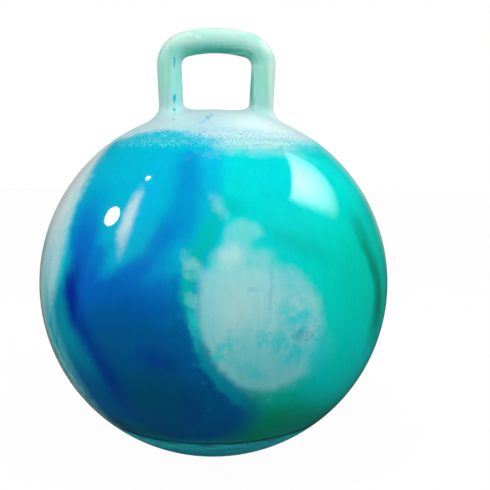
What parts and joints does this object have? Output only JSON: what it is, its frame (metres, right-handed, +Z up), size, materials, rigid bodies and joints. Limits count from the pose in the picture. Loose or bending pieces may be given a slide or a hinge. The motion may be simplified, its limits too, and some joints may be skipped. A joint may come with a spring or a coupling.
{
  "type": "hopper ball",
  "caption": "Inflated ride-on bouncing ball with a moulded loop handle on top and a plugged inflation valve at the back.",
  "frame": {"origin": "on the floor under the middle of the ball, at the centre of its pressed contact patch", "axes": "+Z up through the ball and the middle of the handle, +X along the grip bar to the right as pictured, +Y to the back, where the valve is"},
  "size_m": [0.45, 0.4498, 0.5473],
  "materials": {
    "cap_skin": "satin soft PVC with a fine grain, pale mint marbling",
    "marbled_skin": "glossy soft PVC, marbled blue, turquoise and white",
    "base_skin": "satin soft PVC with a fine grain, marbled blue and teal",
    "valve_seat": "satin soft PVC, off-white",
    "valve_plug": "moulded polyethylene, white"
  },
  "bodies": {
    "ball": {"handle_cap": "cap_skin", "main_skin": "marbled_skin", "base_cap": "base_skin", "valve_seat": "valve_seat"},
    "plug": {"valve_plug": "valve_plug"}
  },
  "joints": [
    {"name": "plug_pull", "type": "slide", "parent": "ball", "child": "plug", "axis": [0, 0.866, -0.5], "range_m": [0, 0.03]}
  ]
}
